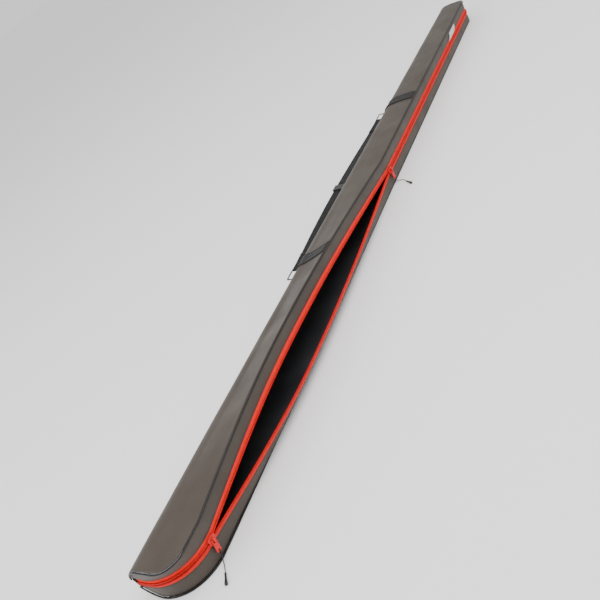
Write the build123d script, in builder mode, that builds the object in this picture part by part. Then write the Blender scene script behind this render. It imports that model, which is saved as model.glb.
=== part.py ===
"""A long slim semi-rigid ski bag with a two-slider zip, a carrying strap and foam-padded walls.

Frame: millimetres, +Z up. The bag lies on its back panel, the origin is the middle of that panel's
underside, +X runs to the far (top) end, and the zip is on the -Y side. The front panel, the spine and
the back panel are one wrap with a D-shaped section; a gusset with the zip closes the other three sides.
The zip stands open between its two sliders, so there the front panel is lifted and the lips spread.
"""
import math
import os

from build123d import *

os.makedirs("parts", exist_ok=True)

# ---------------------------------------------------------------- driving dimensions
length = 1950.0  # near end to far end
near_width = 118.0  # zip side to spine
far_width = 94.0
near_height = 86.0  # back panel to front panel
far_height = 66.0
near_x = -length / 2
far_x = length / 2

skin = 1.2  # coated outer fabric
foam = 4.0  # foam board
lining = 0.8  # inner fabric
wall = skin + foam + lining
strip_wall = 3.0  # padded gusset strip
panel_gap = 0.15  # between the wrap's flat panels and its half-round spine
panel_strips = 4  # the lifted front panel is built of this many strips, so that none twists much

zip_radius = 88.0  # plan radius of the near corner along the zip
front_radius = 45.0  # plan radius of the near corner of the front panel
back_radius = 92.0
far_radius = 26.0  # plan radius of both panels and the zip at the far corner
zip_half = 10.0  # from the zip's middle to the gusset fabric
coil_gap = 1.1  # from the zip's middle to a coil row
coil_width = 2.9
coil_rise = 2.5
tape = 1.0  # zip tape thickness
piping_radius = 1.8
piping_gap = 0.8  # from the gusset's face to the piping

lower_slider_x = near_x + zip_radius
upper_slider_x = near_x + 1085.0
slider_length = 18.0
mouth_start = lower_slider_x + slider_length / 2 + 1.0
mouth_peak = near_x + 480.0
mouth_end = upper_slider_x - slider_length / 2 - 1.0
panel_lift = 30.0  # how far the open mouth lifts the front panel's edge

webbing = 35.0
webbing_thick = 1.6
lower_band_x = near_x + 735.0
upper_band_x = near_x + 1379.0

side_x = [mouth_start + 45.0 * k for k in range(1, 21)]  # stations along the open mouth
flat_x = [upper_slider_x + 160.0 * k for k in range(5)] + [far_x - far_radius - 20.0]


# ---------------------------------------------------------------- shape of the bag along its length
def taper(x):
    """0 at the near corner, 1 where the far corner starts."""
    start = near_x + zip_radius
    end = far_x - far_radius
    return min(max((x - start) / (end - start), 0.0), 1.0)


def width_at(x):
    return near_width + (far_width - near_width) * taper(x)


def height_at(x):
    return near_height + (far_height - near_height) * taper(x)


def mouth_at(x):
    """How far the mouth is open: 0 at the sliders, 1 at its widest."""
    if x <= mouth_start or x >= mouth_end:
        return 0.0
    if x < mouth_peak:
        return math.sin(math.pi / 2 * (x - mouth_start) / (mouth_peak - mouth_start))
    return math.cos(math.pi / 2 * (x - mouth_peak) / (mouth_end - mouth_peak))


def spine_radius(x):
    return height_at(x) / 2


def spine_y(x):
    """Centre of the spine's half round."""
    return width_at(x) / 2 - spine_radius(x)


def rounding(angle, radius):
    """How far a corner of this radius stands outside the zip's own corner, at an angle in degrees."""
    step = zip_radius - radius
    flat = min(angle, 90 - angle)
    if step <= 0 or flat < 1:
        return 0.0
    if zip_radius * math.tan(math.radians(flat)) < step:
        return zip_radius / math.cos(math.radians(flat)) - zip_radius
    along = step * (math.sin(math.radians(angle)) + math.cos(math.radians(angle)))
    return along + math.sqrt(along**2 - 2 * step**2 + radius**2) - zip_radius


# The zip side in order: round the near corner, the open mouth in two halves, the shut zip, the far corner.
stretches = ["near", "lower", "upper", "shut", "far"]


# A rim station is (x, y, heading of the outward normal in degrees, corner angle).
def rim_stations(first, last, near_reach, far_reach):
    """Stations along the zip side's stretches, counted from the near end's spine to the far end's.

    The reaches say how far the piece runs past the middle of the spine's half round at each end.
    """
    corner = (near_x + zip_radius, -near_width / 2 + zip_radius)
    far_corner = (far_x - far_radius, -far_width / 2 + far_radius)
    near_end = []
    for k in range(4, 0, -1):
        near_end.append((near_x, corner[1] + (spine_y(near_x) + near_reach - corner[1]) * k / 4, 180.0, 0.0))
    near_turn = []
    for k in range(11):
        angle = 90.0 - 9.0 * k
        heading = math.radians(270.0 - angle)
        x = corner[0] + zip_radius * math.cos(heading)
        y = corner[1] + zip_radius * math.sin(heading)
        near_turn.append((x, y, 270.0 - angle, angle))
    side = []
    for x in [mouth_start] + side_x + [mouth_end] + flat_x:
        side.append((x, -width_at(x) / 2, 270.0, 0.0))
    far_turn = []
    for k in range(7):
        heading = math.radians(270.0 + 15.0 * k)
        x = far_corner[0] + far_radius * math.cos(heading)
        y = far_corner[1] + far_radius * math.sin(heading)
        far_turn.append((x, y, 270.0 + 15.0 * k, 0.0))
    far_end = []
    for k in range(6):
        far_end.append((far_x, spine_y(far_x) + far_reach * math.sin(math.radians(18.0 * k)), 360.0, 0.0))
    widest = 9  # the station beside the mouth's widest point
    shut = len(side_x) + 1  # the station where the zip is shut again
    whole = {
        "near": near_end + near_turn,
        "lower": [near_turn[-1]] + side[: widest + 1],
        "upper": side[widest : shut + 1],
        "shut": side[shut:] + [far_turn[0]],
        "far": far_turn + far_end,
    }
    rim = []
    for name in stretches[stretches.index(first) : stretches.index(last) + 1]:
        for place in whole[name]:
            if not rim or place != rim[-1]:
                rim.append(place)
    return rim


def rim_faces(stations, section):
    """Faces across the rim; section(station) gives each one's outline as (out, up) points."""
    rings = []
    for station in stations:
        x, y, heading, corner = station
        turn = math.radians(heading)
        outline = []
        for out, up in section(station):
            outline.append((x + out * math.cos(turn), y + out * math.sin(turn), up))
        rings.append(Face(Wire.make_polygon(outline)))
    return rings


def round_drop(station, radius):
    """Half the inside height of a circle of this radius about the spine's middle, at a station."""
    x, y, heading, corner = station
    across = max(y - spine_y(x), 0.0)
    return math.sqrt(max(radius**2 - across**2, 0.0))


# ---------------------------------------------------------------- sections of the rim pieces, as (out, up)
def front_top(station):
    """Where the front strip meets the front panel."""
    x, y, heading, corner = station
    mouth = mouth_at(x)
    top = height_at(x) / 2 + round_drop(station, height_at(x) / 2 - wall)
    return (rounding(corner, front_radius) - 4.0 * mouth - 0.2, top + panel_lift * mouth - 0.15)


def front_lip(station):
    x = station[0]
    mouth = mouth_at(x)
    return (-6.0 * mouth, height_at(x) / 2 + zip_half + 30.0 * mouth)


def front_edge(station):
    """The front coil's edge, where the two halves of the zip meet."""
    x = station[0]
    mouth = mouth_at(x)
    return (-3.0 * mouth, height_at(x) / 2 + coil_gap + 29.0 * mouth)


def back_foot(station):
    x, y, heading, corner = station
    foot = height_at(x) / 2 - round_drop(station, height_at(x) / 2 - wall)
    return (rounding(corner, back_radius) + 3.0 * mouth_at(x) - 0.2, foot + 0.15)


def back_lip(station):
    x = station[0]
    mouth = mouth_at(x)
    return (25.0 * mouth, height_at(x) / 2 - zip_half - 9.5 * mouth)


def back_edge(station):
    x = station[0]
    mouth = mouth_at(x)
    return (26.0 * mouth, height_at(x) / 2 - coil_gap - 9.5 * mouth)


def thickened(upper, lower, thickness, drop=0.0):
    """A four-sided section between two edges, its thickness taken inwards."""
    return [upper, lower, (lower[0] - thickness, lower[1]), (upper[0] - thickness, upper[1] - drop)]


def row_on(edge, lip):
    """A coil row lying on the tape's outer face, from the tape's edge towards the lip."""
    share = coil_width / abs(lip[1] - edge[1])
    inner = (edge[0] + (lip[0] - edge[0]) * share, edge[1] + (lip[1] - edge[1]) * share)
    return [edge, inner, (inner[0] + coil_rise, inner[1]), (edge[0] + coil_rise, edge[1])]


def front_strip_section(station):
    x = station[0]
    panel_fall = panel_lift * mouth_at(x) * (strip_wall + 0.5) / (spine_y(x) + width_at(x) / 2 - 4.0)
    return thickened(front_top(station), front_lip(station), strip_wall, panel_fall)


def back_strip_section(station):
    return thickened(back_lip(station), back_foot(station), strip_wall)


def front_tape_section(station):
    return thickened(front_lip(station), front_edge(station), tape)


def back_tape_section(station):
    return thickened(back_edge(station), back_lip(station), tape)


def front_coil_section(station):
    return row_on(front_edge(station), front_lip(station))


def back_coil_section(station):
    return row_on(back_edge(station), back_lip(station))


def round_section(out, up, radius):
    corners = []
    for k in range(8):
        turn = math.radians(22.5 + 45.0 * k)
        corners.append((out + radius * math.cos(turn), up + radius * math.sin(turn)))
    return corners


def front_piping_section(station):
    x = station[0]
    rise = round_drop(station, height_at(x) / 2 - piping_radius)
    out = front_top(station)[0] + piping_radius + piping_gap
    return round_section(out, height_at(x) / 2 + rise + panel_lift * mouth_at(x), piping_radius)


def back_piping_section(station):
    x = station[0]
    rise = round_drop(station, height_at(x) / 2 - piping_radius - 0.2)
    out = back_foot(station)[0] + piping_radius + piping_gap
    return round_section(out, height_at(x) / 2 - rise, piping_radius)


# ---------------------------------------------------------------- front and back panels
def corner_inset(x, radius):
    """How far the rounded corners draw a panel's zip edge in from the straight side."""
    near = max(radius - (x - near_x), 0.0)
    far = max(far_radius - (far_x - x), 0.0)
    near_inset = radius - math.sqrt(radius**2 - min(near, radius) ** 2)
    far_inset = far_radius - math.sqrt(far_radius**2 - min(far, far_radius) ** 2)
    return near_inset + far_inset


def panel_stations(radius):
    near = [near_x + radius * (1 - math.cos(math.radians(10.0 * k))) for k in range(10)]
    if radius > zip_radius:
        near.append(near_x + zip_radius)
    near[0] = near_x + 0.2
    mouth_x = [mouth_start + 22.5 * k for k in range(1, 43)]
    far = [far_x - far_radius * (1 - math.sin(math.radians(15.0 * k))) for k in range(6)] + [far_x - 0.2]
    middle = [x for x in [lower_slider_x, mouth_start] + mouth_x + [mouth_end] + flat_x if x > near_x + radius]
    return sorted(near + middle) + far


def front_layer(x, depth, thickness):
    """A layer of the front panel: it turns up about the spine where the mouth is open."""
    mouth = mouth_at(x)
    edge = -width_at(x) / 2 + corner_inset(x, front_radius) + 4.0 * mouth + 0.3
    root = spine_y(x) - panel_gap
    top = height_at(x) - depth
    upper = []
    for k in range(panel_strips + 1):
        share = k / panel_strips
        upper.append((x, root + (edge - root) * share, top + panel_lift * mouth * share))
    return upper + [(x, y, z - thickness) for x, y, z in reversed(upper)]


def back_layer(x, depth, thickness):
    root = spine_y(x) - panel_gap
    edge = min(-width_at(x) / 2 + corner_inset(x, back_radius) - 3.0 * mouth_at(x) + 0.3, root - 1.0)
    return [
        (x, edge, depth + thickness),
        (x, root, depth + thickness),
        (x, root, depth),
        (x, edge, depth),
    ]


def panel_rings(layer, radius, depth, thickness):
    rings = []
    for x in panel_stations(radius):
        rings.append(Face(Wire.make_polygon(layer(x, depth, thickness))))
    return rings


def spine_ring(x, depth, thickness):
    """A half ring round the spine, at one station."""
    centre = height_at(x) / 2
    outer = centre - depth
    inner = outer - thickness
    with BuildSketch(Plane(origin=(x, spine_y(x), centre), x_dir=(0, 1, 0), z_dir=(1, 0, 0))) as ring:
        Circle(outer)
        Circle(inner, mode=Mode.SUBTRACT)
        with Locations((-outer, 0)):
            Rectangle(2 * outer, 3 * outer, mode=Mode.SUBTRACT)
    return ring.sketch.face()


def spine_rings(depth, thickness):
    stations = [near_x + 0.2, near_x + zip_radius, far_x - far_radius, far_x - 0.2]
    return [spine_ring(x, depth, thickness) for x in stations]


layers = {"": (0.0, skin), "_foam": (skin, foam), "_lining": (skin + foam, lining)}
for suffix, (depth, thickness) in layers.items():
    with BuildPart() as front_panel:
        loft(panel_rings(front_layer, front_radius, depth, thickness), ruled=True)
    front_panel.part.label = "front_panel" + suffix
    export_step(front_panel.part, "parts/front_panel" + suffix + ".step")

    with BuildPart() as back_panel:
        loft(panel_rings(back_layer, back_radius, depth, thickness), ruled=True)
    back_panel.part.label = "back_panel" + suffix
    export_step(back_panel.part, "parts/back_panel" + suffix + ".step")

    with BuildPart() as spine_panel:
        loft(spine_rings(depth, thickness), ruled=True)
    spine_panel.part.label = "spine_panel" + suffix
    export_step(spine_panel.part, "parts/spine_panel" + suffix + ".step")

# ---------------------------------------------------------------- gusset strips, zip tapes, coils, piping
strip_reach = (34.0, 24.0)  # near and far, past the middle of the spine's half round
zip_reach = (33.0, 22.0)
piping_reach = (40.5, 30.5)

for end, first, last in [("near", "near", "near"), ("side", "lower", "shut"), ("far", "far", "far")]:
    with BuildPart() as front_gusset:
        loft(rim_faces(rim_stations(first, last, *strip_reach), front_strip_section), ruled=True)
    front_gusset.part.label = end + "_front_gusset"
    export_step(front_gusset.part, "parts/" + end + "_front_gusset.step")

    with BuildPart() as back_gusset:
        loft(rim_faces(rim_stations(first, last, *strip_reach), back_strip_section), ruled=True)
    back_gusset.part.label = end + "_back_gusset"
    export_step(back_gusset.part, "parts/" + end + "_back_gusset.step")

for stretch in stretches:
    with BuildPart() as front_tape:
        loft(rim_faces(rim_stations(stretch, stretch, *zip_reach), front_tape_section), ruled=True)
    front_tape.part.label = stretch + "_front_zip_tape"
    export_step(front_tape.part, "parts/" + stretch + "_front_zip_tape.step")

    with BuildPart() as back_tape:
        loft(rim_faces(rim_stations(stretch, stretch, *zip_reach), back_tape_section), ruled=True)
    back_tape.part.label = stretch + "_back_zip_tape"
    export_step(back_tape.part, "parts/" + stretch + "_back_zip_tape.step")

rim_trims = {
    "front_zip_coil": (front_coil_section, zip_reach),
    "back_zip_coil": (back_coil_section, zip_reach),
    "front_piping": (front_piping_section, piping_reach),
    "back_piping": (back_piping_section, piping_reach),
}
for name, (section, reach) in rim_trims.items():
    with BuildPart() as rim_trim:
        loft(rim_faces(rim_stations("near", "far", *reach), section), ruled=True)
    rim_trim.part.label = name
    export_step(rim_trim.part, "parts/" + name + ".step")

stop_size = (4.0, 24.0, 2.4)  # along the zip, across it, thickness
for end, x, reach, side in [("near", near_x, zip_reach[0], -1), ("far", far_x, zip_reach[1], 1)]:
    with BuildPart() as zip_stop:
        stop_y = spine_y(x) + reach + stop_size[0] / 2 + 0.2
        with Locations((x + side * (stop_size[2] / 2 + 0.1), stop_y, height_at(x) / 2)):
            Box(stop_size[2], stop_size[0], stop_size[1])
        fillet(zip_stop.edges().filter_by(Axis.Z), 0.8)
    zip_stop.part.label = end + "_zip_stop"
    export_step(zip_stop.part, "parts/" + end + "_zip_stop.step")

# ---------------------------------------------------------------- sliders and pull tabs
slider_width = 13.0
crown_span = 7.2  # between the middles of the crown's legs, across the zip
crown_bar = 1.8
crown_length = 4.0  # along the zip
crown_top = 9.8  # this and the plates' faces are distances out from the tape's outer face
top_plate = (3.1, 5.0)
bottom_plate = (-3.5, -2.0)
post = (4.0, 1.6)  # joins the plates at the slider's mouth
post_x = 5.5
flange = (slider_length - 7.0, 1.1)  # along the zip, thickness
flange_root = 0.5
pin_out = 6.7  # the pull tab's pin, out from the tape
pin_radius = 1.2
tab_length = 26.0
tab_width = 10.4
tab_thick = 1.8
tab_window = (6.6, 6.2)  # round the crown's leg
tab_eye = 21.2  # from the pin down to the cord's eye
tab_eye_radius = 1.6
cord_radius = 0.8
cord_loop = 3.1  # radius of the cord's loop through the eye
knot_radius = 2.3
knot_drop = 1.4  # from the loop's lowest point to the knot's middle


def zip_plane(x, along, outward):
    """Origin on the tape's outer face at the zip's middle: X along the zip, Y up, Z outwards."""
    return Plane(origin=(x, -width_at(x) / 2, height_at(x) / 2), x_dir=along, z_dir=outward)


def slider_body(plane, mouth):
    """Two plates, the post between them at the mouth end, side flanges and the crown that holds the tab."""
    with BuildPart() as slider:
        with BuildSketch(plane.offset(top_plate[0])):
            Trapezoid(slider_width, slider_length, 86, 86, rotation=-90 * mouth)
        extrude(amount=top_plate[1] - top_plate[0])
        fillet(slider.faces().sort_by(Axis.Y)[0].edges(), 0.7)
        with BuildSketch(plane.offset(bottom_plate[0])):
            RectangleRounded(slider_length - 2, slider_width - 2, 2)
        extrude(amount=bottom_plate[1] - bottom_plate[0])
        with BuildSketch(plane.offset(bottom_plate[0])):
            with Locations((mouth * post_x, 0)):
                RectangleRounded(*post, 0.7)
        extrude(amount=top_plate[0] - bottom_plate[0] + 1)
        with BuildSketch(plane.offset(flange_root)):
            with Locations((0, slider_width / 2 - flange[1]), (0, flange[1] - slider_width / 2)):
                Rectangle(*flange)
        extrude(amount=top_plate[0] - flange_root + 1)
        with BuildSketch(plane.offset(top_plate[0] + 1)):
            with Locations((0, crown_span / 2), (0, -crown_span / 2)):
                Rectangle(crown_length, crown_bar)
        extrude(amount=crown_top - top_plate[0] - 1)
        with BuildSketch(plane.offset(crown_top - crown_bar)):
            Rectangle(crown_length, crown_span + crown_bar)
        extrude(amount=crown_bar)
        fillet(slider.faces().sort_by(Axis.Y)[0].edges(), 0.6)
    return slider.part


def pull_tab(plane):
    """A flat tab hanging from its pin, with a frame round the crown's leg and an eye for the cord."""
    with BuildPart() as tab:
        with BuildSketch(plane.offset(pin_out - tab_thick / 2)):
            with Locations((0, -tab_length / 2 + pin_radius)):
                RectangleRounded(tab_width, tab_length, 2.2)
            with Locations((0, -tab_window[1] / 2 - 0.2)):
                Rectangle(*tab_window, mode=Mode.SUBTRACT)
            with Locations((0, -tab_eye)):
                Circle(tab_eye_radius, mode=Mode.SUBTRACT)
        extrude(amount=tab_thick)
        fillet(tab.faces().sort_by(Axis.Y)[0].outer_wire().edges(), 0.5)
        pin_end = plane.from_local_coords((-tab_width / 2 + 1, 0, pin_out))
        with BuildSketch(Plane(origin=pin_end, z_dir=plane.x_dir)):
            Circle(pin_radius)
        extrude(amount=tab_width - 2)
    return tab.part


def pull_knot(plane):
    """The cord's loop through the tab's eye and the knot under it."""
    loop_centre = plane.from_local_coords((0, -tab_eye - cord_loop, pin_out))
    knot_centre = plane.from_local_coords((0, -tab_eye - 2 * cord_loop - knot_drop, pin_out))
    with BuildPart() as knot:
        with Locations(Plane(origin=loop_centre, z_dir=plane.x_dir)):
            Torus(cord_loop, cord_radius)
        with Locations(knot_centre):
            Sphere(knot_radius)
    return knot.part


zip_run_x = upper_band_x - upper_slider_x
zip_run_y = (width_at(upper_slider_x) - width_at(upper_band_x)) / 2
zip_run_z = (height_at(upper_band_x) - height_at(upper_slider_x)) / 2
zip_along = Vector(zip_run_x, zip_run_y, zip_run_z).normalized()
zip_outward = Vector(zip_along.Y, -zip_along.X, 0).normalized()

# name: (position, mouth direction, tab's lean, direction of the zip, outward direction)
sliders = {
    "lower": (lower_slider_x, 1, -15.0, Vector(1, 0, 0), Vector(0, -1, 0)),
    "upper": (upper_slider_x, -1, -6.0, zip_along, zip_outward),
}
for name, (x, mouth, lean, along, outward) in sliders.items():
    plane = zip_plane(x, along, outward)
    slider = slider_body(plane, mouth)
    slider.label = name + "_slider"
    export_step(slider, "parts/" + name + "_slider.step")
    tab_across = plane.x_dir.rotate(Axis((0, 0, 0), outward), lean)
    leaning = Plane(origin=plane.origin, x_dir=tab_across, z_dir=outward)
    tab = pull_tab(leaning)
    tab.label = name + "_pull_tab"
    export_step(tab, "parts/" + name + "_pull_tab.step")
    knot = pull_knot(leaning)
    knot.label = name + "_cord_knot"
    export_step(knot, "parts/" + name + "_cord_knot.step")
    loop_centre = leaning.from_local_coords((0, -tab_eye - cord_loop, pin_out))
    pin_centre = leaning.from_local_coords((0, 0, pin_out))
    print(name, "tab pin", pin_centre, "axis", leaning.x_dir, "loop", loop_centre)

# ---------------------------------------------------------------- pull cords and their grips
# The cords hang from their knots to the ground and lie there, pointing away from the bag.
cord_routes = {
    "lower": [
        (near_x + 79.8, -65.9, 13.2),
        (near_x + 76.6, -66.1, 8.6),
        (near_x + 72.6, -67.4, 4.4),
        (near_x + 67.2, -70.6, 1.7),
        (near_x + 61.0, -75.6, 1.2),
        (near_x + 54.9, -80.4, 1.9),
    ],
    "upper": [
        (near_x + 1082.2, -60.2, 6.6),
        (near_x + 1085.0, -63.4, 3.8),
        (near_x + 1087.4, -68.2, 1.8),
        (near_x + 1087.2, -74.2, 1.2),
        (near_x + 1083.6, -79.4, 1.2),
        (near_x + 1079.2, -83.6, 1.3),
        (near_x + 1075.4, -87.8, 1.9),
    ],
}
grip_ends = {"lower": (near_x + 35.6, -94.8, 3.2), "upper": (near_x + 1060.5, -106.6, 3.2)}


def bend_radii(route):
    """Each bend takes 0.45 of its shorter run."""
    radii = []
    for before, point, after in zip(route, route[1:], route[2:]):
        run_in = Vector(*point) - Vector(*before)
        run_out = Vector(*after) - Vector(*point)
        half_turn = math.radians(run_in.get_angle(run_out)) / 2
        radii.append(0.45 * min(run_in.length, run_out.length) / math.tan(half_turn))
    return radii


def cord_tube(route):
    with BuildPart() as tube:
        with BuildLine() as path:
            FilletPolyline(*route, radius=bend_radii(route))
        with BuildSketch(Plane(origin=path.line @ 0, z_dir=path.line % 0)):
            Circle(cord_radius)
        sweep()
    length = path.wires()[0].length
    print("cord length", round(length, 2), "bend radii", [round(radius, 1) for radius in bend_radii(route)])
    straight_volume = math.pi * cord_radius**2 * length
    print("cord volume over section times length", round(tube.part.volume / straight_volume, 4))
    return tube.part


def cord_grip(start, end):
    """A slim moulded grip, wider at its free end."""
    axis = Vector(*end) - Vector(*start)
    # distance along the grip and its radius there
    outline = [(0, 0), (0, 1.5), (1.0, 1.9), (8.0, 1.7), (17.0, 2.4), (21.5, 3.0), (24.0, 2.2), (24.0, 0)]
    with BuildPart() as grip:
        with BuildSketch(Plane(origin=start, x_dir=axis, z_dir=axis.cross(Vector(0, 0, 1)))):
            with BuildLine():
                Polyline(*outline, close=True)
            make_face()
        revolve(axis=Axis(start, axis))
    return grip.part


for name, route in cord_routes.items():
    tube = cord_tube(route)
    tube.label = name + "_pull_cord"
    export_step(tube, "parts/" + name + "_pull_cord.step")
    grip = cord_grip(route[-1], grip_ends[name])
    grip.label = name + "_cord_grip"
    export_step(grip, "parts/" + name + "_cord_grip.step")

# ---------------------------------------------------------------- webbing bands round the wrap
band_clear = 0.3
band_end = -70.0  # the band stops at this angle on the spine, near the back seam


def band_path(x, height):
    """The band's line over the front panel and round the spine, at this height above the wrap."""
    mouth = mouth_at(x)
    edge = -width_at(x) / 2 + 4.0 * mouth + 1.2
    root = spine_y(x)
    top = height_at(x) + height
    points = [(x, edge, top + panel_lift * mouth), (x, root, top)]
    for k in range(1, 17):
        turn = math.radians(90.0 - (90.0 - band_end) * k / 16)
        reach = spine_radius(x) + height
        points.append((x, root + reach * math.cos(turn), height_at(x) / 2 + reach * math.sin(turn)))
    return points


def band_face(x):
    outer = band_path(x, band_clear + webbing_thick)
    inner = band_path(x, band_clear)
    return Face(Wire.make_polygon(outer + inner[::-1]))


bands = {"lower": lower_band_x, "upper": upper_band_x}
for name, x in bands.items():
    with BuildPart() as band:
        loft([band_face(x - webbing / 2), band_face(x), band_face(x + webbing / 2)], ruled=True)
    band.part.label = name + "_band"
    export_step(band.part, "parts/" + name + "_band.step")

# ---------------------------------------------------------------- strap rings, carrying strap, adjuster
ring_angle = 2.0  # the rings stand out from the spine at this angle above level
ring_rod = 1.5
ring_depth = 28.0  # pin to outer bar
ring_span = 32.0  # between the middles of the legs
ring_bend = 2.2
ring_clear = 0.4  # round the rod, in the keeper and in the strap's loops
keeper_radius = 3.5
keeper_length = 20.0
strap_width = 24.0
strap_thick = 1.8
loop_radius = 3.3
loop_bite = 2.2  # from a loop's middle to where the flat webbing begins
strap_bow = 12.0


def ring_plane(x):
    """Origin on the ring's pin: X out from the spine, Y across, Z along the bag."""
    turn = math.radians(ring_angle)
    reach = spine_radius(x) + band_clear + webbing_thick + 0.1 + keeper_radius
    origin = (x, spine_y(x) + reach * math.cos(turn), height_at(x) / 2 + reach * math.sin(turn))
    return Plane(origin=origin, x_dir=(0, math.cos(turn), math.sin(turn)), z_dir=(1, 0, 0))


for name, x in bands.items():
    plane = ring_plane(x)
    with BuildPart() as keeper:
        with BuildSketch(plane.offset(-keeper_length / 2)):
            Circle(keeper_radius)
            Circle(ring_rod + ring_clear, mode=Mode.SUBTRACT)
        extrude(amount=keeper_length)
    keeper.part.label = name + "_ring_keeper"
    export_step(keeper.part, "parts/" + name + "_ring_keeper.step")

    along = plane.z_dir
    outward = plane.x_dir
    corner_a = plane.origin - along * (ring_span / 2)
    corner_b = plane.origin + along * (ring_span / 2)
    with BuildPart() as ring:
        with BuildLine() as ring_line:
            FilletPolyline(
                corner_a,
                corner_b,
                corner_b + outward * ring_depth,
                corner_a + outward * ring_depth,
                close=True,
                radius=ring_bend,
            )
        ring_start = ring_line.edges().filter_by(GeomType.LINE)[0]
        with BuildSketch(Plane(origin=ring_start @ 0.5, z_dir=ring_start % 0.5)):
            Circle(ring_rod)
        sweep(path=ring_line.wires()[0])
    ring.part.label = name + "_strap_ring"
    export_step(ring.part, "parts/" + name + "_strap_ring.step")

strap_start = lower_band_x + ring_span / 2
strap_finish = upper_band_x - ring_span / 2
adjuster_x = near_x + 1058.0
adjuster_stretch = 100.0  # the strap is straight for this length round the adjuster


def strap_bow_at(x):
    """How far the slack strap stands out from the line between its rings."""
    share = (x - strap_start) / (strap_finish - strap_start)
    return strap_bow * math.sin(math.pi * share)


def strap_plane(x):
    """Across the strap: X out from the spine, Y up through the webbing."""
    start = ring_plane(lower_band_x).origin
    finish = ring_plane(upper_band_x).origin
    share = (x - start.X) / (finish.X - start.X)
    outward = ring_plane(lower_band_x).x_dir
    origin = start + (finish - start) * share + outward * (ring_depth / 2 + strap_bow_at(x))
    return Plane(origin=origin, x_dir=outward, z_dir=(1, 0, 0))


def strap_stations():
    stretch_start = adjuster_x - adjuster_stretch / 2
    stretch_end = adjuster_x + adjuster_stretch / 2
    first = strap_start + loop_bite
    last = strap_finish - loop_bite
    lower = [first + (stretch_start - first) * k / 6 for k in range(7)]
    upper = [stretch_end + (last - stretch_end) * k / 8 for k in range(9)]
    return lower + upper


def strap_face(x):
    with BuildSketch(strap_plane(x)) as across:
        Rectangle(strap_width, strap_thick)
    return across.sketch.face()


with BuildPart() as strap:
    loft([strap_face(x) for x in strap_stations()], ruled=True)
    for x in (strap_start, strap_finish):
        leg = strap_plane(x)
        with BuildSketch(Plane(origin=leg.from_local_coords((-strap_width / 2, 0, 0)), z_dir=leg.x_dir)):
            Circle(loop_radius)
        extrude(amount=strap_width)
    for x in (strap_start, strap_finish):
        leg = strap_plane(x)
        with BuildSketch(Plane(origin=leg.from_local_coords((-strap_width / 2 - 1, 0, 0)), z_dir=leg.x_dir)):
            Circle(ring_rod + ring_clear)
        extrude(amount=strap_width + 2, mode=Mode.SUBTRACT)
strap.part.label = "carrying_strap"
export_step(strap.part, "parts/carrying_strap.step")

glide_start = strap_plane(adjuster_x - adjuster_stretch / 2).origin
glide_end = strap_plane(adjuster_x + adjuster_stretch / 2).origin
glide_along = (glide_end - glide_start).normalized()
glide_out = ring_plane(lower_band_x).x_dir
glide_plane = Plane(origin=(glide_start + glide_end) / 2, x_dir=glide_out, z_dir=glide_along)
adjuster_length = 20.0
adjuster_clear = 0.4  # on each side of the webbing
adjuster_wall = (3.1, 1.8)  # beside the webbing, over and under it
with BuildPart() as adjuster:
    slot_width = strap_width + 2 * adjuster_clear
    slot_height = strap_thick + 2 * adjuster_clear
    with BuildSketch(glide_plane.offset(-adjuster_length / 2)):
        RectangleRounded(slot_width + 2 * adjuster_wall[0], slot_height + 2 * adjuster_wall[1], 1.6)
        Rectangle(slot_width, slot_height, mode=Mode.SUBTRACT)
    extrude(amount=adjuster_length)
adjuster.part.label = "strap_adjuster"
export_step(adjuster.part, "parts/strap_adjuster.step")

# ---------------------------------------------------------------- light-grey tab on the zip's far stretch
end_tab_x = near_x + 1760.0
end_tab_thick = 1.2
with BuildPart() as zip_end_tab:
    with BuildSketch(zip_plane(end_tab_x, zip_along, zip_outward).offset(0.15)):
        with BuildLine():
            ThreePointArc((38.0, 25.0), (10.0, 17.0), (-38.0, 7.4))
            ThreePointArc((-38.0, 7.4), (-22.0, 17.0), (-16.0, 25.0))
            Line((-16.0, 25.0), (38.0, 25.0))
        make_face()
    extrude(amount=end_tab_thick)
zip_end_tab.part.label = "zip_end_tab"
export_step(zip_end_tab.part, "parts/zip_end_tab.step")

strap_pin = ring_plane(lower_band_x).origin
strap_pins_along = (ring_plane(upper_band_x).origin - strap_pin).normalized()
print("zip along", zip_along)
print("strap pin", strap_pin, "along", strap_pins_along)
print("adjuster", glide_plane.origin, "along", glide_along)
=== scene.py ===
"""Looks of a long slim ski bag: sewn shell, piping, two-way zip, webbing bands, carrying strap and zip pulls.

Metres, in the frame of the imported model: +X to the far end, +Z up, the zip on the -Y side.
"""
import math

import bmesh
import bpy
from mathutils import Matrix, Vector, noise


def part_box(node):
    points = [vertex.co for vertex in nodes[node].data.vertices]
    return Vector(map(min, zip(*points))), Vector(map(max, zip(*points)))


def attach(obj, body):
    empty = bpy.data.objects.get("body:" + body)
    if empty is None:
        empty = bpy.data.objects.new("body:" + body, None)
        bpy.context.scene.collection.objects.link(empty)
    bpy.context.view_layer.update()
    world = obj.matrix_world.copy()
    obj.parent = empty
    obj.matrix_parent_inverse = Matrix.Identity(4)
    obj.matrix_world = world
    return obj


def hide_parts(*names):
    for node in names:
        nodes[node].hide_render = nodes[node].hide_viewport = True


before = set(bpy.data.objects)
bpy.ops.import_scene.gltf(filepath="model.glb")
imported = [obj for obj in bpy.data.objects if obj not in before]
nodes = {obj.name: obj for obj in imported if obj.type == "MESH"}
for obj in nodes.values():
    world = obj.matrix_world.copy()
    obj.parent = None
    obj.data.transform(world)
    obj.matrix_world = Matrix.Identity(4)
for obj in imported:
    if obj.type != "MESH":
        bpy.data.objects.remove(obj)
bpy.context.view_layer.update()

# ---------------------------------------------------------------- driving dimensions, as in the model
near_x = round(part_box("spine_panel")[0].x, 3)
far_x = round(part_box("spine_panel")[1].x, 3)
near_width = 0.118
far_width = 0.094
near_height = 0.086
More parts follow.
